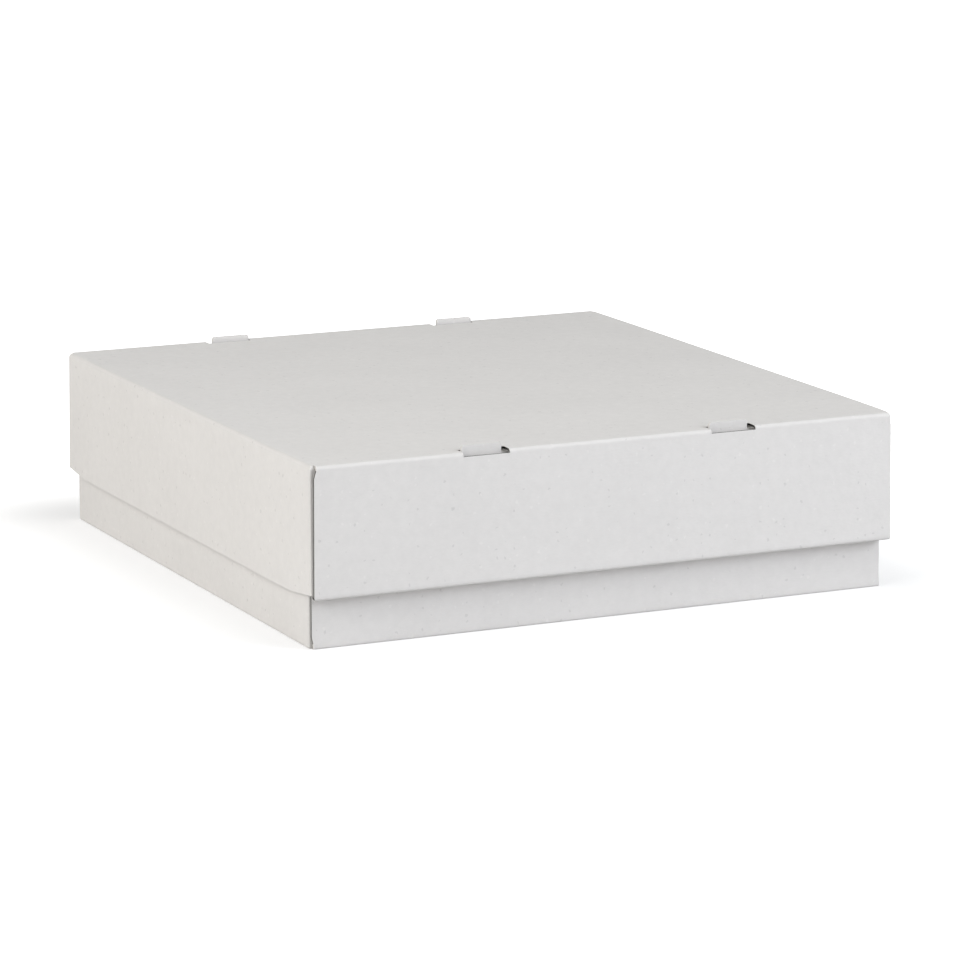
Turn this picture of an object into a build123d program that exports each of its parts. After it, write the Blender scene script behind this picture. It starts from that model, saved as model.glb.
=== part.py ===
"""Lid and base box of folded micro-flute board.

The base and the lid are one die-cut sheet each, folded into a tray. Along X the tray has single
walls, whose ends fold round into corner flaps. Along Y the walls are rolled: an outer panel goes
up, over a narrow rim and down again as an inner panel, with the corner flaps held between the two.
Tabs on the inner panel lock the roll in slots of the tray's main panel. The lid is such a tray
turned over, and it slides down over the base until its top lies on the base's rolled rims.

Millimetres. The origin is the centre of the underside, +Z is up, the rolled walls face +Y and -Y.
"""
import os

from build123d import *

# Board
board = 1.6  # thickness of the micro-flute board
crease_radius = 0.4  # inside radius of a fold
edge_gap = 0.3  # between a free edge and the panel that it faces

# Space inside the base
inside_length = 300.0  # along X, between the single walls
inside_width = 300.0  # along Y, between the rolled walls
inside_depth = 84.0  # from the floor to the rim

# Lid over base
lid_height = 63.0  # outside, from the top to the rim
slide_fit = 1.0  # clearance between lid and base on each side
seat_gap = 0.3  # between the base's rim and the underside of the lid's top

# Corner flaps, between the two layers of a rolled wall
base_flap_length = 75.0
lid_flap_length = 60.0
flap_taper = 4.0  # each long edge draws in by this much towards the free end
flap_rim_gap = 2.2  # from the rim to the flap
outer_gap = 0.9  # between the outer panel and the flap
inner_gap = 0.3  # between the flap and the inner panel

# Locking tabs and their slots, two on each rolled wall
tab_spacing = 130.4  # between the centres of the two tabs
tab_width = 20.4
tab_chamfer = 0.8  # at the corners of the tab's end
lid_tab_reach = 2.6  # the lid's tabs stand this far above its top
base_tab_reach = -0.3  # the base's tabs stop short of its underside
slot_end_gap = 1.7  # between the tab and each end of the slot
slot_side_gap = 1.2  # between the tab and each side of the slot

# Ends of the panels
lid_panel_inset = 2.5  # the outer panels stop this far inside the single walls' faces
base_panel_inset = 1.2
lid_relief = 1.3  # the fold at an outer panel's foot is shorter by this at each end
base_relief = 0.3
relief_height = 6.0  # the outer panel widens to its full length over this height
rim_corner_height = 5.0  # of the cut corner of an outer panel at the rim
roll_end_gap = 1.7  # between the inner panel's ends and the single walls
wall_taper = 20.0  # the rim of a single wall slopes down over this length at each end

fold_radius = crease_radius + board
slot_depth = board + crease_radius / 2  # through the main panel, and down the lid's outer panels
rolled_wall = 3 * board + outer_gap + inner_gap
base_height = board + inside_depth
lid_top = base_height + seat_gap + board


def folded_tray(length, width, height, panel_inset, relief, flap_length, tab_reach, slot_over_fold):
    """A locked tray, open upwards, on z = 0. Length and width are its clear inside.

    The quarter in +X and +Y is modelled, then mirrored about both middle planes.
    """
    half_x = length / 2 + board
    half_y = width / 2 + rolled_wall
    panel_end = half_x - panel_inset
    foot_end = panel_end - relief
    flap_y = half_y - board - outer_gap
    wall_end = flap_y - fold_radius
    inner_y = half_y - rolled_wall
    roll_end = length / 2 - roll_end_gap
    flap_low = fold_radius + edge_gap
    flap_high = height - flap_rim_gap
    flap_tip = half_x - flap_length
    tab_x = tab_spacing / 2
    tab_front = inner_y + board
    slot_length = tab_width + 2 * slot_end_gap
    slot_front = half_y if slot_over_fold else tab_front + slot_side_gap
    slot_back = inner_y - slot_side_gap

    with BuildSketch() as ring:
        Circle(fold_radius)
        Circle(crease_radius, mode=Mode.SUBTRACT)
        Rectangle(fold_radius, fold_radius, align=(Align.MIN, Align.MAX), mode=Mode.INTERSECT)

    with BuildPart() as tray:
        # Outer panel of the rolled wall and the fold at its foot
        with BuildSketch(Plane.YZ):
            with Locations((half_y - fold_radius, fold_radius)):
                add(ring.sketch)
        extrude(amount=foot_end)
        with BuildSketch(Plane.XZ.offset(-half_y)):
            with BuildLine():
                Polyline(
                    (0, fold_radius),
                    (foot_end, fold_radius),
                    (panel_end, relief_height),
                    (panel_end, height - rim_corner_height),
                    (roll_end, height - fold_radius),
                    (0, height - fold_radius),
                    close=True,
                )
            make_face()
        extrude(amount=board)

        # Main panel
        with BuildSketch():
            Rectangle(half_x - fold_radius, half_y - fold_radius, align=Align.MIN)
        extrude(amount=board)

        # Slot for the tab, which on the lid runs across the fold into the outer panel
        with BuildSketch():
            with Locations((tab_x, slot_back)):
                Rectangle(slot_length, slot_front - slot_back, align=(Align.CENTER, Align.MIN))
        extrude(amount=slot_depth, mode=Mode.SUBTRACT)

        # Rim and inner panel, rolled over from the outer panel
        with BuildSketch(Plane.YZ):
            with BuildLine():
                FilletPolyline(
                    (half_y, height / 2),
                    (half_y, height),
                    (inner_y, height),
                    (inner_y, board + edge_gap),
                    radius=fold_radius,
                )
                offset(amount=board, side=Side.RIGHT)
            make_face()
        extrude(amount=roll_end)

        # Tab on the inner panel's free edge
        with BuildSketch(Plane.XZ.offset(-tab_front)):
            with Locations((tab_x, -tab_reach)):
                tab = Rectangle(tab_width, height / 2 + tab_reach, align=(Align.CENTER, Align.MIN))
            chamfer(tab.vertices().group_by(Axis.Y)[0], tab_chamfer)
        extrude(amount=board)

        # Fold and single wall
        with BuildSketch(Plane.XZ):
            with Locations((half_x - fold_radius, fold_radius)):
                add(ring.sketch)
        extrude(amount=-wall_end)
        with BuildSketch(Plane.YZ.offset(half_x)):
            with BuildLine():
                Polyline(
                    (0, fold_radius),
                    (wall_end, fold_radius),
                    (wall_end, flap_high),
                    (wall_end - wall_taper, height),
                    (0, height),
                    close=True,
                )
            make_face()
        extrude(amount=-board)

        # Upright fold at the wall's end
        with BuildSketch(Plane.XY.offset(fold_radius)):
            with Locations((half_x - fold_radius, wall_end)):
                add(ring.sketch, rotation=90)
        extrude(amount=flap_high - fold_radius)

        # Corner where the wall's fold and the upright fold meet, pressed round
        with BuildSketch(Plane.XZ.offset(-wall_end)):
            with Locations((half_x - fold_radius, fold_radius)):
                add(ring.sketch)
        revolve(axis=Axis((half_x - fold_radius, wall_end, 0), (0, 0, 1)), revolution_arc=90)

        # Corner flap behind the outer panel
        with BuildSketch(Plane.XZ.offset(-flap_y)):
            with BuildLine():
                Polyline(
                    (half_x - fold_radius, flap_low),
                    (half_x - fold_radius, flap_high),
                    (flap_tip, flap_high - flap_taper),
                    (flap_tip, flap_low + flap_taper),
                    close=True,
                )
            make_face()
        extrude(amount=board)

        mirror(about=Plane.YZ)
        mirror(about=Plane.XZ)
    return tray.part


base_tray = folded_tray(
    length=inside_length,
    width=inside_width,
    height=base_height,
    panel_inset=base_panel_inset,
    relief=base_relief,
    flap_length=base_flap_length,
    tab_reach=base_tab_reach,
    slot_over_fold=False,
)
lid_tray = folded_tray(
    length=inside_length + 2 * (board + slide_fit),
    width=inside_width + 2 * (rolled_wall + slide_fit),
    height=lid_height,
    panel_inset=lid_panel_inset,
    relief=lid_relief,
    flap_length=lid_flap_length,
    tab_reach=lid_tab_reach,
    slot_over_fold=True,
)

with BuildPart() as base:
    add(base_tray)
base.part.label = "base"

with BuildPart(Plane((0, 0, lid_top), x_dir=(1, 0, 0), z_dir=(0, 0, -1))) as lid:
    add(lid_tray)
lid.part.label = "lid"

os.makedirs("parts", exist_ok=True)
export_step(base.part, "parts/base.step")
export_step(lid.part, "parts/lid.step")
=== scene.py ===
"""Lid and base box of light grey micro-flute board: its looks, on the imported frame.

Each sheet is laid out as its flat die-cut blank and then folded. On the blank, u runs along X and
v along Y, both measured on the sheet's outer face, and depth runs from that face into the board.
A folded tray stands open upwards on z = 0, and the lid is turned over onto the base.
"""

import math

import bmesh
import bpy
from mathutils import Matrix, Vector


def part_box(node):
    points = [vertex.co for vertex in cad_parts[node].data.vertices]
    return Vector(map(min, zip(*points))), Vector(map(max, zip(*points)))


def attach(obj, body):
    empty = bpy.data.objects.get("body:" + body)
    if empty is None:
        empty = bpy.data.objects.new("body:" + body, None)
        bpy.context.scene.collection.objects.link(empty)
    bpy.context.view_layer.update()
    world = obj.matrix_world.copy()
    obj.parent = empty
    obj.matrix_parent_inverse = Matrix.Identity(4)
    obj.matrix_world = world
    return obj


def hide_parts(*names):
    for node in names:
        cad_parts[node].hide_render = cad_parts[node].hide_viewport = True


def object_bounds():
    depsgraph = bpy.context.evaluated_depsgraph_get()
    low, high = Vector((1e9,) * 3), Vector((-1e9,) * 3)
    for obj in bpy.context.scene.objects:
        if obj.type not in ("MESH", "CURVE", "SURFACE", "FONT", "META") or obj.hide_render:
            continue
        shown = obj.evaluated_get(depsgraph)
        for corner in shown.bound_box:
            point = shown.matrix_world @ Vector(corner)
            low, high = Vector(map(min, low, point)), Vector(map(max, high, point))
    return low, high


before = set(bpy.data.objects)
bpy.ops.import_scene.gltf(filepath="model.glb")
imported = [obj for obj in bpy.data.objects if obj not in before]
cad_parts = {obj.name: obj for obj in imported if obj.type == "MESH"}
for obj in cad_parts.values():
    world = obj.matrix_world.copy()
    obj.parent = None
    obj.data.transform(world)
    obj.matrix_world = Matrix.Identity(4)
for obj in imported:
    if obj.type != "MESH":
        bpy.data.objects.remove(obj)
cad_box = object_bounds()
mm = 0.001

# Board
board = 1.6 * mm
liner = 0.2 * mm  # each of the two papers that face the flutes
flute_pitch = 3.3 * mm
fold_radius = 2.0 * mm  # outside of a fold
edge_gap = 0.3 * mm  # between a free edge and the panel that it faces
layer_gaps = 1.2 * mm  # between the three layers of a rolled wall, in all

# Corner flaps, between the outer and the inner panel of a rolled wall
base_flap_length = 75 * mm
lid_flap_length = 60 * mm
flap_taper = 4 * mm  # each long edge draws in by this much towards the free end
flap_rim_gap = 2.2 * mm  # from the rim to the flap
flap_foot_gap = 0.15 * mm  # from the main panel to the flap
flap_gap = 0.6 * mm  # from the outer panel to the upright fold that leads to the flap
flap_dip = 0.2 * mm  # the flap lies this much further in than that fold

# Locking tabs and their slots, two on each rolled wall
tab_spacing = 130.4 * mm  # between the centres of the two tabs
tab_width = 20.4 * mm
tab_chamfer = 0.8 * mm  # at the corners of the tab's end
lid_tab_reach = 2.6 * mm  # the lid's tabs stand this far above its top
base_tab_reach = -0.3 * mm  # the base's tabs stop short of its underside
slot_end_gap = 1.7 * mm  # between the tab and each end of the slot
slot_side_gap = 1.2 * mm  # between the tab and each side of the slot
tab_shift = 1.2 * mm  # the lid's inner panels lie askew, with their tabs this far off the slots' middle
tab_lean = 1.0 * mm  # the lid's tabs stand this far out towards the outer panel
lean_height = 30 * mm  # the inner panel bends out to them over this height
lean_width = 12 * mm  # and over this length on each side of a tab

# Ends of the panels
lid_panel_inset = 2.0 * mm  # the outer panels stop this far inside the single walls' faces
base_panel_inset = 1.2 * mm
lid_end_shift = -0.3 * mm  # they lie askew: longer by this where u and v share a sign, else shorter
base_end_shift = 0.6 * mm
lid_relief = 0.8 * mm  # the fold at an outer panel's foot is shorter by this at each end
base_relief = 0.3 * mm
relief_height = 6 * mm  # the outer panel widens to its full length over this height
roll_end_gap = 1.7 * mm  # between the inner panel's ends and the single walls
wall_taper = 20 * mm  # the rim of a single wall slopes down over this length at each end
corner_zone = 8 * mm  # columns this near to a panel's end follow its cut corners

# Outlines of the folds, as the power of an arc: 1 is round, less is squarer and more is blunter
round_fold = 1.0
sharp_fold = 0.65  # the rims
crisp_fold = 0.4  # the folds round the base's floor, and the upright folds except at the front right
blunt_fold = 1.7  # the fold of the lid's top at the front right corner
blunt_length = 8 * mm  # over this length the fold there turns blunt

# Lid out of true
lid_lean = 0.62 * mm  # narrower at its top than at its rim, by this on each side
pinch_top = 0.35 * mm  # its single walls are drawn in at three corners, by this at the top
pinch_rim = 0.85 * mm  # by this at the rim
pinch_length = 50 * mm  # and over this length

# Grid of the mesh
cell = 5 * mm  # no cell is longer than this
fold_steps = 8  # cells across a fold
support = 0.5 * mm  # a grid line this far from each fold keeps the panels flat
tiny = 1e-7  # places nearer than this are the same
line_digits = 8  # grid lines are rounded to these digits of a metre
point_digits = 7  # points that agree to these digits are one
step_slack = 1e-6  # a gap longer than the step by this share of it needs no line more

# Raw edges, as a groove between the liners that is deep where the cut opens the flutes
along_flutes_depth = 0.1 * mm
panel_end_depth = 1.0 * mm  # at the ends of a rolled wall's panels
across_flutes_depth = 2.2 * mm
corner_flutes_depth = 0.7 * mm  # across the flutes, near a corner
groove_slope = 0.06 * mm  # each side of the groove leans in by this
straight_on = 0.98  # cosine between two sides of a raw edge that run on as one
turned_back = -0.9  # cosine between two sides that turn back on each other
flat_board = 0.999  # cosine between the board's normals at two points of a flat panel

# Finish of the board, with the liner's pattern in millimetres and tones as shares of the colour
liner_colour = (0.735, 0.718, 0.700)
lip_colour = (0.70, 0.685, 0.665)  # the liners' cut edges
shaded_medium_colour = (0.24, 0.233, 0.224)  # the fluted paper, its colour darkened further by painted shade of the groove
liner_roughness = 0.9
liner_specular = 0.2
raw_roughness = 0.95
raw_specular = 0.1
cloud_size = 45.0
cloud_tone = 0.012
mottle_size = 5.0
mottle_tone = 0.015
mottle_height = 0.02
fibre_size = 0.9
fibre_squeeze = 0.35  # of the pattern along u, which makes the fibres long
fibre_tone = 0.009
fibre_height = 0.012
flute_height = 0.0015
# The folds are darkened by this share: painted shade that dims their highlight
fold_shade_tone = 0.03
dark_flecks = {"spacing": 4.5, "share": 0.15, "smallest": 0.35, "largest": 0.85}
dark_fleck_tone = 0.11
light_flecks = {"spacing": 3.7, "share": 0.10, "smallest": 0.4, "largest": 0.9}
light_fleck_tone = 0.045
fleck_edge = 1.5  # how steeply a fleck's edge sets in
ragged_scale = 0.7  # of the noise that makes the flecks' outlines ragged
ragged_detail = 1.0
ragged_shift = 1.6
noise_detail = 2.0
noise_low = 0.25  # most of a noise texture's values lie between these two
noise_high = 0.75
grain_size = 0.5 * mm  # of the raw edges' loose fibres
grain_detail = 3.0
grain_tone = 0.24
grain_height = 0.06 * mm

# Camera
photo_size = 960  # pixels
focal_pixels = 4358.0
sensor_width = 36  # millimetres on the sensor, which sets the lens's scale
camera_azimuth = math.radians(-25.17)
camera_elevation = math.radians(11.93)
camera_distance = 2200.5 * mm
camera_aim = Vector((6.3, -3.2, 36.8)) * mm

# Studio, in metres
ambient = 0.15
floor_half = 8.0
floor_grey = 0.6
floor_glow = 0.45  # seen by the camera alone, which lifts the lit floor to white
glow_reach = 0.12  # this far from the box the camera sees a white floor
lamp_aim = Vector((0, 0, 0.05))

# Soft lamps: name, place, width, height, watts and colour
lamps = (
    ("left_high", (-1.7, -0.5, 1.5), 1.4, 1.4, 18.6, (1.0, 0.99, 0.972)),
    ("left_low", (-2.0, -0.6, 0.7), 1.4, 1.2, 10.9, (1.0, 0.986, 0.973)),
    ("left_flat", (-2.0, 0.3, 0.6), 1.4, 1.0, 8.7, (1.0, 0.973, 0.923)),
    ("front_right", (1.3, -2.0, 0.7), 1.6, 1.2, 17.9, (0.912, 0.93, 1.0)),
    ("front_mid_right", (1.7, -1.5, 1.3), 1.4, 1.0, 29.6, (0.92, 0.953, 1.0)),
    ("front_steep", (0.2, -0.9, 2.1), 1.6, 1.0, 9.4, (0.975, 1.0, 0.981)),
    ("back_low", (0.3, 2.3, 0.7), 1.6, 1.2, 8.0, (1.0, 0.99, 0.975)),
)

rolled_wall = 3 * board + layer_gaps
quarter_fold = fold_radius * math.pi / 2
tab_x = tab_spacing / 2
slot_length = tab_width + 2 * slot_end_gap

# A sheet's materials, by number
on_liner = 0
on_lip = 1
on_shaded_medium = 2

# Places of the sheets' patterns, in metres: the lid's and the inner faces' lie beside the others
lid_pattern = 1
inner_pattern = 2


def spaced(marks, step=cell):
    """The marks in order, with lines between them no further apart than the step."""
    marks = sorted({round(mark, line_digits) for mark in marks})
    lines = []
    for low, high in zip(marks, marks[1:]):
        count = math.ceil((high - low) / step - step_slack)
        lines += [low + (high - low) * i / count for i in range(count)]
    return lines + marks[-1:]


def panel_lines(low, high, marks=()):
    """Grid lines over a flat panel between two folds or edges."""
    return spaced([low, low + support, high - support, high, *marks])


def fold_lines(start):
    """Grid lines over a fold."""
    return spaced([start, start + quarter_fold], quarter_fold / fold_steps)


def both_ways(marks):
    """The marks and their mirror images."""
    return [sign * mark for mark in marks for sign in (-1, 1)]


def mirrored(lines):
    """The grid lines on the other side of the middle, in order."""
    return [-line for line in reversed(lines)]


def blend(x, low, high, start, end):
    """start below low, end above high, in proportion between them."""
    share = min(max((x - low) / (high - low), 0), 1)
    return start + (end - start) * share


def fold_outline(turn, power):
    """Cosine and sine of a turn up to a right angle. A power below 1 draws the arc out to a corner."""
    return math.cos(turn) ** power, math.sin(turn) ** power


def walk(distance, runs):
    """Place and inward normal after a distance along straight runs, each with its fold's power."""
    place, heading = Vector((0, 0)), Vector((1, 0))
    for run, power in runs:
        inward = Vector((-heading.y, heading.x))
        if distance <= run:
            return place + heading * distance, inward
        centre = place + heading * run + inward * fold_radius
        distance -= run
        turn = min(distance / fold_radius, math.pi / 2)
        turned = inward * math.cos(turn) - heading * math.sin(turn)
        near, far = fold_outline(turn, power)
        place = centre - (inward * near - heading * far) * fold_radius
        if distance <= quarter_fold:
            return place, turned
        heading = Vector((turned.y, -turned.x))
        distance -= quarter_fold


class Tray:
    """Sizes of one folded sheet, its blank, and where a point of the blank comes to lie."""

    def __init__(self, node, is_lid, panel_inset, relief, flap_length, tab_reach):
        low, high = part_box(node)
        self.is_lid = is_lid
        self.lean = lid_lean if is_lid else 0
        self.tab_shift = tab_shift if is_lid else 0
        self.tab_lean = tab_lean if is_lid else 0
        self.end_shift = lid_end_shift if is_lid else base_end_shift
        self.foot_fold = round_fold if is_lid else crisp_fold
        self.front = 1 if is_lid else -1  # sign of v at the front
        self.half_x, self.half_y = high.x, high.y
        self.height = high.z - low.z - max(tab_reach, 0)
        self.main_x = self.half_x - fold_radius
        self.main_y = self.half_y - fold_radius
        self.panel_end = self.half_x - panel_inset
        self.foot_end = self.panel_end - relief
        self.roll_end = self.half_x - board - roll_end_gap
        self.wall_end = self.main_y - board - flap_gap
        self.flap_low = board + flap_foot_gap
        self.flap_high = self.height - flap_rim_gap
        self.flap_run = flap_length - fold_radius
        self.main_corner = min(self.main_x, self.foot_end)
        self.lap = (self.main_x - self.main_corner) / 2  # of the pressed corner onto the flap

        # Where the folds and edges of the rolled wall and of the single wall lie on the blank
        self.panel_foot = self.main_y + quarter_fold
        self.panel_rim = self.panel_foot + self.height - 2 * fold_radius
        self.rim_start = self.panel_rim + quarter_fold
        self.rim_end = self.rim_start + rolled_wall - 2 * fold_radius
        self.inner_start = self.rim_end + quarter_fold
        self.inner_end = self.inner_start + self.height - fold_radius - board - edge_gap
        self.tab_end = self.inner_end + board + edge_gap + tab_reach
        self.wall_foot = self.main_x + quarter_fold
        self.wall_rim = self.wall_foot + self.height - fold_radius
        self.flap_start = self.wall_end + quarter_fold
        self.flap_end = self.flap_start + self.flap_run

        # Slots, from the inside of the tray to the outside
        inner_y = self.half_y - rolled_wall
        self.slot_back = inner_y - slot_side_gap
        self.slot_front = self.panel_foot if is_lid else inner_y + board + slot_side_gap

    def wall_mark(self, z):
        """The blank's u at a height on the single wall."""
        return self.wall_foot + z - fold_radius

    def panel_mark(self, z):
        """The blank's v at a height on the rolled wall's outer panel."""
        return self.panel_foot + z - fold_radius

    def columns(self):
        """Grid lines across the main panel and the rolled walls."""
        marks = [self.foot_end, self.main_x, self.main_corner - support, self.main_x - corner_zone]
        for half in (slot_length / 2, tab_width / 2, tab_width / 2 - tab_chamfer):
            marks += [tab_x - half, tab_x + half]
        return spaced(both_ways(marks))

    def main_rows(self):
        """Grid lines along the main panel, the single walls and their feet."""
        marks = [self.main_y, self.main_y - support, self.slot_back]
        marks += [self.wall_end, self.wall_end - support, self.wall_end - wall_taper]
        if not self.is_lid:
            marks.append(self.slot_front)
        return spaced(both_ways(marks))

    def roll_rows(self):
        """Grid lines up the rolled wall, over its rim and down to the end of the tabs."""
        rows = fold_lines(self.main_y)
        rows += panel_lines(self.panel_foot, self.panel_rim, [self.panel_mark(relief_height)])
        rows += fold_lines(self.panel_rim)
        rows += panel_lines(self.rim_start, self.rim_end)
        rows += fold_lines(self.rim_end)
        rows += panel_lines(self.inner_start, self.inner_end)
        rows += [self.tab_end - tab_chamfer, self.tab_end]
        return spaced(rows)

    def wall_columns(self):
        """Grid lines up the single wall."""
        low, high = self.wall_mark(self.flap_low), self.wall_mark(self.flap_high)
        return spaced(fold_lines(self.main_x) + panel_lines(self.wall_foot, self.wall_rim, [low, high]))

    def flap_rows(self):
        """Grid lines round the upright fold and along the corner flap."""
        marks = [self.flap_start + self.lap]
        return spaced(fold_lines(self.wall_end) + panel_lines(self.flap_start, self.flap_end, marks))

    def in_slot(self, u, v):
        """True in the middle of a cell that a slot cuts away."""
        inside = abs(abs(u) - tab_x) < slot_length / 2
        return inside and self.slot_back < abs(v) < self.slot_front

    def in_sheet(self, u, v):
        """True in the middle of a cell of the main panel or a rolled wall that is board."""
        if abs(u) > (self.main_x if abs(v) < self.main_y else self.foot_end):
            return False
        if abs(v) > self.inner_end and abs(abs(u) - tab_x) > tab_width / 2:
            return False
        return not self.in_slot(u, v)

    def in_wall(self, u, v):
        """True in the middle of a cell of a single wall, its folds or a corner flap."""
        low = self.main_x if abs(v) < self.flap_start + self.lap else self.wall_mark(self.flap_low)
        high = self.wall_rim if abs(v) < self.wall_end else self.wall_mark(self.flap_high)
        return low < abs(u) < high

    def on_slot(self, wall, u, v):
        """True on the edge of a slot."""
        inside = abs(abs(u) - tab_x) < slot_length / 2 + tiny
        return inside and not wall and self.slot_back - tiny < abs(v) < self.slot_front + tiny

    def on_roll(self, wall, u, v):
        """True on a rolled wall above the fold at its foot."""
        return not wall and abs(v) > self.panel_foot + tiny

    def on_tab(self, wall, u, v):
        """True on a locking tab."""
        return not wall and abs(v) > self.inner_end - tiny

    def at_corner(self, wall, u, v):
        """True where the main panel meets the ends of its folds."""
        if wall:
            return abs(u) < self.wall_foot + tiny and abs(v) > self.wall_end - tiny
        return abs(u) > self.main_corner - tiny and abs(v) < self.panel_foot + tiny

    def on_fold(self, wall, u, v):
        """True on a fold and its edges."""
        away, row = abs(u) + tiny, abs(v) + tiny
        if wall:
            return away < self.wall_foot or self.wall_end < row < self.flap_start
        starts = (self.main_y, self.panel_rim, self.rim_end)
        return any(start < row < start + quarter_fold for start in starts)

    def groove(self, ends, bent):
        """Depth of the groove in a raw edge between two points, and whether it shows no fluted paper."""
        def both(test):
            return all(test(*end) for end in ends)

        (_, u, v), (_, next_u, next_v) = ends
        across = 0 if bent else abs(next_u - u) / math.hypot(next_u - u, next_v - v)
        on_tab = both(self.on_tab)
        plain = on_tab and across < 0.5 or both(self.at_corner)
        if both(self.on_slot):
            across = 1
        start = self.main_x - corner_zone
        deepest = blend(abs(u), start, start + corner_zone / 2, across_flutes_depth, corner_flutes_depth)
        on_panel = both(self.on_roll) and not on_tab
        least = panel_end_depth if on_panel else along_flutes_depth
        return blend(across, 0, 1, least, deepest), plain

    def panel_half(self, v, shift):
        """Half the length of the rolled wall at a row of the blank, with its cut corners."""
        end = self.panel_end + shift
        if v < self.panel_rim:
            return blend(v, self.panel_foot, self.panel_mark(relief_height), self.foot_end, end)
        return blend(v, self.panel_rim, self.inner_start, end, self.roll_end)

    def trim_roll(self, u, v):
        """Moves a grid point of the main panel or a rolled wall to the cut shape of the blank."""
        away, row = abs(u), abs(v)

        # Main panel's corner, sloped where the rolled wall's foot is shorter
        if self.lap and away > self.main_corner and row < self.main_y + tiny:
            end = blend(row, self.wall_end, self.main_y, self.main_x, self.main_corner)
            away = blend(away, self.main_corner, self.main_x, self.main_corner, end)

        # End of the rolled wall
        start = self.main_x - corner_zone
        if row > self.panel_foot and away > start:
            end = self.panel_half(row, math.copysign(self.end_shift, self.end_shift * u * v))
            away = blend(away, start, self.foot_end, start, end)

        # Chamfer of a tab
        from_tab = away - tab_x
        if abs(abs(from_tab) - tab_width / 2) < tiny and row > self.tab_end - tiny:
            away -= math.copysign(tab_chamfer / 2, from_tab)
            row -= tab_chamfer / 2
        return math.copysign(away, u), math.copysign(row, v)

    def trim_wall(self, u, v):
        """Moves a grid point of a single wall or a corner flap to the cut shape of the blank."""
        away, row = abs(u), abs(v)
        low, high = self.wall_mark(self.flap_low), self.wall_mark(self.flap_high)
        if away < self.main_x + tiny:
            row = min(row, self.wall_end)
        elif away < self.wall_foot and row > self.flap_start:
            row = blend(away, self.main_x, self.wall_foot, self.flap_start, row)
        elif away > low - tiny and row > self.flap_start:
            taper = flap_taper * (row - self.flap_start) / self.flap_run
            away = blend(away, low, high, low + taper, high - taper)
        elif away > high:
            top = blend(row, self.wall_end - wall_taper, self.wall_end, self.wall_rim, high)
            away = blend(away, high, self.wall_rim, high, top)
        return math.copysign(away, u), math.copysign(row, v)

    def fold_roll(self, u, v, depth):
        """Where a point of the main panel or a rolled wall lies on the folded tray."""
        runs = [(self.main_y, self.foot_fold), (self.height - 2 * fold_radius, sharp_fold),
                (rolled_wall - 2 * fold_radius, sharp_fold), (math.inf, round_fold)]
        place, inward = walk(abs(v), runs)
        place = place + inward * depth
        askew = blend(abs(v), self.inner_start, self.inner_end, 0, self.tab_shift)
        out = blend(abs(v), self.inner_end - lean_height, self.tab_end, 0, self.tab_lean)
        out *= blend(abs(abs(u) - tab_x), tab_width / 2, tab_width / 2 + lean_width, 1, 0)
        return Vector((u - math.copysign(askew, v), math.copysign(place.x + out, v), place.y))

    def fold_wall(self, u, v, depth):
        """Where a point of a single wall or a corner flap lies on the folded tray."""
        right_front = u > 0 and v * self.front > 0
        foot_fold = self.foot_fold
        if self.is_lid and right_front:
            foot_fold = blend(abs(v), self.wall_end - blunt_length, self.wall_end, foot_fold, blunt_fold)
        place, inward = walk(abs(u), [(self.main_x, foot_fold), (math.inf, round_fold)])
        place = place + inward * depth
        reach = place.x - self.main_x
        turn = min(max((abs(v) - self.wall_end) / fold_radius, 0), math.pi / 2)
        near, far = fold_outline(turn, round_fold if right_front else crisp_fold)
        x = self.main_x + reach * near - max(abs(v) - self.flap_start, 0)
        dip = blend(abs(v), self.flap_start - support, self.flap_start + 2 * support, 0, flap_dip)
        y = min(abs(v), self.wall_end) + reach * far - dip
        return Vector((math.copysign(x, u), math.copysign(y, v), place.y))

    def pinch(self, wall, u, v, z):
        """How far a point of the lid's sheet is drawn in towards the middle."""
        if not self.is_lid or u < 0 and v < 0:
            return 0
        along = blend(abs(v), self.wall_end - pinch_length, self.wall_end, 0, 1)
        amount = along * along * (3 - 2 * along) * blend(z, 0, self.height, pinch_top, pinch_rim)
        if not wall:
            amount *= blend(abs(u), self.main_x - corner_zone, self.main_x, 0, 1)
            amount *= blend(abs(v), self.main_y, self.panel_foot, 1, 0)
        return amount

    def fold(self, wall, u, v, depth):
        """Where a point of the sheet lies on the tray as it is made up."""
        spot = self.fold_wall(u, v, depth) if wall else self.fold_roll(u, v, depth)
        spot.x -= math.copysign(self.pinch(wall, u, v, spot.z), u)
        lean = self.lean * (1 - spot.z / self.height)
        spot.x *= 1 - lean / self.half_x
        spot.y *= 1 - lean / self.half_y
        return spot


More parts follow.
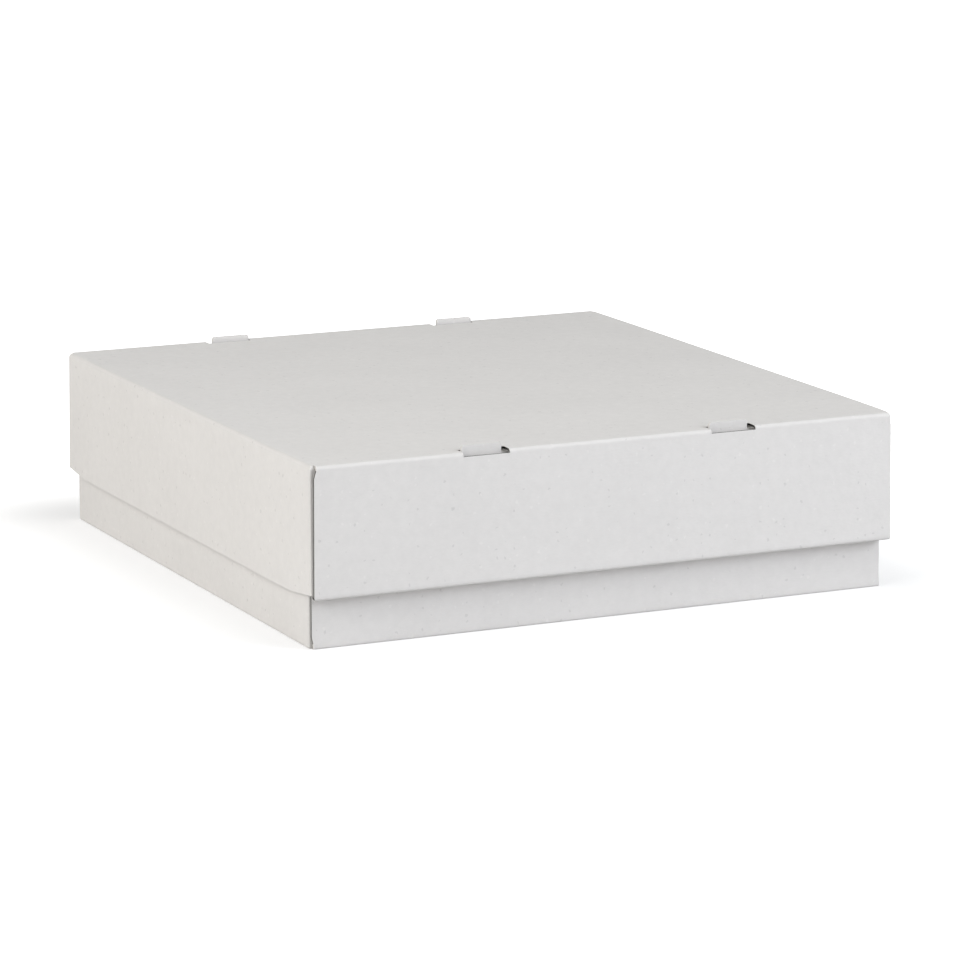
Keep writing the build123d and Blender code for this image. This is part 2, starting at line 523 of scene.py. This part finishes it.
class Blank:
    """The flat sheet: its points, and its cells as rows of point numbers.

    A point is whether it belongs to a single wall, its u and its v.
    """

    def __init__(self, tray):
        self.tray = tray
        self.numbers = {}
        self.points = []
        self.cells = []

    def point(self, u, v, wall):
        """Number of the point at a crossing of grid lines. Zones share the points on their seams."""
        tray = self.tray
        trimmed = tray.trim_wall(u, v) if wall else tray.trim_roll(u, v)
        on_main = abs(trimmed[0]) < tray.main_x + tiny and abs(trimmed[1]) < tray.main_y + tiny
        zone = "main" if on_main else "wall" if wall else "roll"
        key = (zone, round(trimmed[0], point_digits), round(trimmed[1], point_digits))
        if key not in self.numbers:
            self.numbers[key] = len(self.points)
            self.points.append((zone == "wall", *trimmed))
        return self.numbers[key]

    def add_cells(self, columns, rows, wall, keep):
        """Adds the cells between the grid lines whose middle passes the test."""
        for left, right in zip(columns, columns[1:]):
            for low, high in zip(rows, rows[1:]):
                if keep((left + right) / 2, (low + high) / 2):
                    corners = ((left, low), (left, high), (right, high), (right, low))
                    numbers = [self.point(u, v, wall) for u, v in corners]
                    self.cells.append(list(dict.fromkeys(numbers)))

    def edges(self):
        """The raw edges as closed loops of point numbers, with the board on their right side."""
        sides = {}
        for corners in self.cells:
            for start, end in zip(corners, corners[1:] + corners[:1]):
                sides[start, end] = True
        follow = {start: end for start, end in sides if (end, start) not in sides}
        loops = []
        while follow:
            start, step = follow.popitem()
            loop = [start]
            while step != start:
                loop.append(step)
                step = follow.pop(step)
            loops.append(loop)
        return loops


def lay_out(tray):
    """The blank of a tray."""
    blank = Blank(tray)
    columns, main_rows, roll_rows = tray.columns(), tray.main_rows(), tray.roll_rows()
    for rows in (main_rows, roll_rows, mirrored(roll_rows)):
        blank.add_cells(columns, rows, False, tray.in_sheet)
    right, flap_rows = tray.wall_columns(), tray.flap_rows()
    wall_rows = [v for v in main_rows if abs(v) < tray.wall_end + tiny]
    for wall_columns in (mirrored(right), right):
        for rows in (mirrored(flap_rows), wall_rows, flap_rows):
            blank.add_cells(wall_columns, rows, True, tray.in_wall)
    return blank


def edge_inset(before, after, through):
    """How far the groove of a raw edge goes into the sheet at a point.

    Before and after are the edge's two sides at the point, each with its direction in space and the
    groove's depth along it, and through is the board's inward normal.
    """
    (first, first_depth), (second, second_depth) = before, after
    first_in = first.cross(through).normalized()
    second_in = second.cross(through).normalized()
    share = first_in.dot(second_in)
    if share > straight_on:
        return (first_in + second_in).normalized() * (first_depth + second_depth) / 2
    if share < turned_back:
        return Vector((0, 0, 0))
    spread = 1 - share * share
    first_part = (first_depth - second_depth * share) / spread
    second_part = (second_depth - first_depth * share) / spread
    return first_in * first_part + second_in * second_part


class Sheet:
    """Mesh of one folded sheet, with its thickness, raw edges and open flutes."""

    def __init__(self, tray, stand, pattern):
        self.tray = tray
        self.stand = stand
        self.pattern = pattern
        self.mesh = bmesh.new()
        self.blank_uv = self.mesh.loops.layers.uv.new("blank")
        self.fold_shade_mask = self.mesh.verts.layers.float.new("fold_shade_mask")

    def vertex(self, point, depth):
        """Adds a point of the blank, folded, at a depth in the board."""
        made = self.mesh.verts.new(self.stand @ self.tray.fold(*point, depth))
        # Folds are marked for the painted shade that darkens the liner there
        made[self.fold_shade_mask] = float(self.tray.on_fold(*point))
        return made

    def face(self, corners, points, side, material):
        """Adds a face, with its place on the blank for the board's pattern."""
        made = self.mesh.faces.new(corners)
        made.material_index = material
        made.smooth = True
        for loop, (_, u, v) in zip(made.loops, points):
            loop[self.blank_uv].uv = (u + self.pattern, v + side)
        return made

    def add_blank(self, blank):
        """Adds both faces of the board and all its raw edges."""
        points = blank.points
        outer = [self.vertex(point, 0) for point in points]
        inner = [self.vertex(point, board) for point in points]
        for corners in blank.cells:
            spots = [points[i] for i in corners]
            self.face([outer[i] for i in corners], spots, 0, on_liner)
            self.face([inner[i] for i in reversed(corners)], spots[::-1], inner_pattern, on_liner)
        for loop in blank.edges():
            self.add_raw_edge(*[[items[i] for i in loop] for items in (points, outer, inner)])

    def add_raw_edge(self, points, outer, inner):
        """Adds a raw edge: the two liners' edges with a groove between them."""
        count = len(points)
        places = [vertex.co for vertex in outer]
        through = [(low.co - top.co) / board for top, low in zip(outer, inner)]
        sides, plain = [], []
        for k in range(count):
            n = (k + 1) % count
            bent = through[k].dot(through[n]) < flat_board
            depth, is_plain = self.tray.groove((points[k], points[n]), bent)
            sides.append((places[n] - places[k], depth))
            plain.append(is_plain)
        insets = [edge_inset(sides[k - 1], sides[k], through[k]) for k in range(count)]

        bottom = liner + groove_slope
        layers = [(0, liner), (1, bottom), (1, board - bottom), (0, board - liner)]
        rings = [outer]
        for share, depth in layers:
            spots = [places[k] + through[k] * depth + insets[k] * share for k in range(count)]
            rings.append([self.mesh.verts.new(spot) for spot in spots])
        rings.append(inner)
        for strip, (low, high) in enumerate(zip(rings, rings[1:])):
            is_lip = strip in (0, len(layers))
            for k in range(count):
                n = (k + 1) % count
                ends = [points[n], points[k], points[k], points[n]]
                # Groove faces get the fluted paper's colour with painted shade; lips and plain faces
                # don't
                material = on_lip if is_lip or plain[k] else on_shaded_medium
                made = self.face([low[n], low[k], high[k], high[n]], ends, 0, material)
                for edge in made.edges:
                    edge.smooth = False

    def as_object(self, name):
        """The sheet as an object of the scene."""
        data = bpy.data.meshes.new(name)
        bmesh.ops.recalc_face_normals(self.mesh, faces=self.mesh.faces)
        self.mesh.to_mesh(data)
        self.mesh.free()
        piece = bpy.data.objects.new(name, data)
        bpy.context.scene.collection.objects.link(piece)
        return piece


def fold_sheet(name, tray, stand, pattern):
    """Lays out, folds and meshes one sheet."""
    sheet = Sheet(tray, stand, pattern)
    sheet.add_blank(lay_out(tray))
    return sheet.as_object(name)


base_tray = Tray("base", False, base_panel_inset, base_relief, base_flap_length, base_tab_reach)
lid_tray = Tray("lid", True, lid_panel_inset, lid_relief, lid_flap_length, lid_tab_reach)
lid_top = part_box("lid")[1].z - lid_tab_reach
turned_over = Matrix.Translation((0, 0, lid_top)) @ Matrix.Rotation(math.pi, 4, "X")
base_sheet = fold_sheet("base_sheet", base_tray, Matrix.Identity(4), 0)
lid_sheet = fold_sheet("lid_sheet", lid_tray, turned_over, lid_pattern)

for piece, body in ((base_sheet, "base"), (lid_sheet, "lid")):
    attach(piece, body)
    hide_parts(body)


def node_maker(tree):
    """A function that adds a shader node to the tree, with its settings and its inputs by name."""
    def add(kind, inputs, **settings):
        node = tree.nodes.new("ShaderNode" + kind)
        for name, value in settings.items():
            setattr(node, name, value)
        for name, value in inputs.items():
            if isinstance(value, bpy.types.NodeSocket):
                tree.links.new(value, node.inputs[name])
            else:
                node.inputs[name].default_value = value
        return node
    return add


def arithmetic(add):
    """A function that adds a Math node and gives its output."""
    def work_out(operation, *values):
        return add("Math", dict(enumerate(values)), operation=operation).outputs[0]
    return work_out


def new_material(name, roughness, specular):
    """A material, its shader and the function that adds nodes to it."""
    material = bpy.data.materials.new(name)
    material.use_nodes = True
    shader = material.node_tree.nodes["Principled BSDF"]
    shader.inputs["Roughness"].default_value = roughness
    shader.inputs["Specular IOR Level"].default_value = specular
    return material, shader, node_maker(material.node_tree)


def dress(shader, add, colour, tone, height, unit):
    """Gives a shader a colour times a tone, and a bump whose height is in the unit."""
    links = shader.id_data.links
    tinted = add("VectorMath", {0: colour, "Scale": tone}, operation="SCALE")
    links.new(tinted.outputs[0], shader.inputs["Base Color"])
    bump = add("Bump", {"Height": height, "Strength": 1.0, "Distance": unit})
    links.new(bump.outputs[0], shader.inputs["Normal"])


def noise_value(add, coordinates, size):
    """Noise, mostly between -1 and 1, whose grains have a size in the coordinates' unit."""
    inputs = {"Vector": coordinates, "Scale": 1 / size, "Detail": noise_detail}
    texture = add("TexNoise", inputs, noise_dimensions="2D")
    spread = {"Value": texture.outputs[0], "From Min": noise_low, "From Max": noise_high,
              "To Min": -1, "To Max": 1}
    return add("MapRange", spread, clamp=False).outputs[0]


def fleck_mask(add, coordinates, spacing, share, smallest, largest):
    """1 on flecks of the given radius, in a share of the cells of a loose pattern, and 0 elsewhere."""
    value = arithmetic(add)
    cells = add("TexVoronoi", {"Vector": coordinates, "Scale": 1 / spacing}, voronoi_dimensions="2D")
    draws = add("SeparateColor", {"Color": cells.outputs["Color"]})
    chosen = value("LESS_THAN", draws.outputs[0], share)
    radius = value("MULTIPLY_ADD", draws.outputs[1], (largest - smallest) / spacing, smallest / spacing)
    inside = value("SUBTRACT", value("MULTIPLY", radius, chosen), cells.outputs["Distance"])
    return add("Clamp", {"Value": value("MULTIPLY", inside, fleck_edge * spacing / smallest)}).outputs[0]


def liner_material():
    """Light grey recycled liner: clouds, mottle, fibres and flecks, with the flutes faintly behind it."""
    material, shader, add = new_material("grey_liner", liner_roughness, liner_specular)
    value = arithmetic(add)

    # Places on the blank in millimetres, as they are, bent for the flecks and squeezed for the fibres
    blank = add("UVMap", {}, uv_map="blank")
    spot = add("VectorMath", {0: blank.outputs[0], "Scale": 1 / mm}, operation="SCALE").outputs[0]
    waves = {"Vector": spot, "Scale": ragged_scale, "Detail": ragged_detail}
    bent = add("TexNoise", waves, noise_dimensions="2D")
    shift = add("VectorMath", {0: bent.outputs["Color"], "Scale": ragged_shift}, operation="SCALE")
    ragged = add("VectorMath", {0: spot, 1: shift.outputs[0]}, operation="ADD").outputs[0]
    squeezed = add("Mapping", {"Vector": spot, "Scale": (fibre_squeeze, 1.0, 1.0)}).outputs[0]

    cloud = noise_value(add, spot, cloud_size)
    mottle = noise_value(add, spot, mottle_size)
    fibre = noise_value(add, squeezed, fibre_size)
    dark = fleck_mask(add, ragged, **dark_flecks)
    light = fleck_mask(add, ragged, **light_flecks)
    fold_shade_mask = add("Attribute", {}, attribute_name="fold_shade_mask").outputs["Fac"]
    across = add("SeparateXYZ", {0: spot}).outputs[0]
    flute = value("SINE", value("MULTIPLY", across, 2 * math.pi * mm / flute_pitch))

    tone = value("MULTIPLY_ADD", cloud, cloud_tone, 1.0)
    tone = value("MULTIPLY_ADD", mottle, mottle_tone, tone)
    tone = value("MULTIPLY_ADD", fibre, fibre_tone, tone)
    tone = value("MULTIPLY_ADD", dark, -dark_fleck_tone, tone)
    tone = value("MULTIPLY_ADD", light, light_fleck_tone, tone)
    # Painted shade: the liner is darker on the folds, which dims their highlight
    tone = value("MULTIPLY_ADD", fold_shade_mask, -fold_shade_tone, tone)
    height = value("MULTIPLY", fibre, fibre_height)
    height = value("MULTIPLY_ADD", mottle, mottle_height, height)
    height = value("MULTIPLY_ADD", flute, flute_height, height)
    dress(shader, add, liner_colour, tone, height, mm)
    return material


def raw_edge_material(name, edge_colour):
    """Cut edge of the board: duller paper with loose fibres."""
    material, shader, add = new_material(name, raw_roughness, raw_specular)
    place = add("TexCoord", {}).outputs["Object"]
    grain = add("TexNoise", {"Vector": place, "Scale": 1 / grain_size, "Detail": grain_detail}).outputs[0]
    tone = arithmetic(add)("MULTIPLY_ADD", grain, grain_tone, 1 - grain_tone / 2)
    dress(shader, add, edge_colour, tone, grain, grain_height)
    return material


# In the order of a sheet's material numbers
finishes = (liner_material(), raw_edge_material("liner_lip", lip_colour),
            # the last finish is the fluted paper with painted shade of the groove
            raw_edge_material("medium_painted_shade", shaded_medium_colour))
for piece in (base_sheet, lid_sheet):
    for finish in finishes:
        piece.data.materials.append(finish)

scene = bpy.context.scene
scene.view_settings.view_transform = "Standard"


def look_along(thing, place, aim):
    """Puts a camera or a lamp at a place, turned towards a point."""
    thing.location = place
    thing.rotation_euler = (place - aim).to_track_quat("Z", "Y").to_euler()
    scene.collection.objects.link(thing)


camera_data = bpy.data.cameras.new("camera")
camera_data.sensor_width = sensor_width
camera_data.lens = sensor_width * focal_pixels / photo_size
camera = bpy.data.objects.new("camera", camera_data)
level = math.cos(camera_elevation)
back = Vector((math.sin(camera_azimuth) * level, -math.cos(camera_azimuth) * level,
               math.sin(camera_elevation)))
look_along(camera, camera_aim + back * camera_distance, camera_aim)
scene.camera = camera


def soft_box(name, place, width, height, power, colour):
    """A soft lamp that points at the box."""
    data = bpy.data.lights.new(name, "AREA")
    data.shape = "RECTANGLE"
    data.size = width
    data.size_y = height
    data.energy = power
    data.color = colour
    look_along(bpy.data.objects.new(name, data), Vector(place), lamp_aim)


for lamp in lamps:
    soft_box(*lamp)


def studio_world():
    """Even light from all round, in front of a white backdrop."""
    world = bpy.data.worlds.new("studio")
    world.use_nodes = True
    tree = world.node_tree
    add = node_maker(tree)
    seen = add("LightPath", {}).outputs["Is Camera Ray"]
    strength = add("MapRange", {"Value": seen, "To Min": ambient, "To Max": 1.0}).outputs[0]
    sky = tree.nodes["Background"]
    sky.inputs["Color"].default_value = (1, 1, 1, 1)
    tree.links.new(strength, sky.inputs["Strength"])
    return world


def floor_material():
    """Pale floor that keeps the shadow. It lights the box as a grey one, and the camera sees it white."""
    material, shader, add = new_material("floor", roughness=1.0, specular=0.0)
    shader.inputs["Base Color"].default_value = (floor_grey, floor_grey, floor_grey, 1)
    shader.inputs["Emission Color"].default_value = (1, 1, 1, 1)

    # Distance from the box, over which the glow rises to white
    place = add("NewGeometry", {}).outputs["Position"]
    apart = add("VectorMath", {0: place}, operation="ABSOLUTE").outputs[0]
    apart = add("VectorMath", {0: apart, 1: cad_box[1]}, operation="SUBTRACT").outputs[0]
    apart = add("VectorMath", {0: apart, 1: (0, 0, 0)}, operation="MAXIMUM").outputs[0]
    away = add("VectorMath", {0: apart}, operation="LENGTH").outputs["Value"]
    rise = {"Value": away, "From Max": glow_reach, "To Min": floor_glow, "To Max": 1.0}
    glow = add("MapRange", rise, interpolation_type="SMOOTHSTEP").outputs[0]
    seen = add("LightPath", {}).outputs["Is Camera Ray"]
    strength = arithmetic(add)("MULTIPLY", glow, seen)
    material.node_tree.links.new(strength, shader.inputs["Emission Strength"])
    return material


scene.world = studio_world()

floor_data = bpy.data.meshes.new("floor")
corners = [(x * floor_half, y * floor_half, 0) for x, y in ((-1, -1), (1, -1), (1, 1), (-1, 1))]
floor_data.from_pydata(corners, [], [(0, 1, 2, 3)])
floor_data.materials.append(floor_material())
floor = bpy.data.objects.new("floor", floor_data)
scene.collection.objects.link(floor)
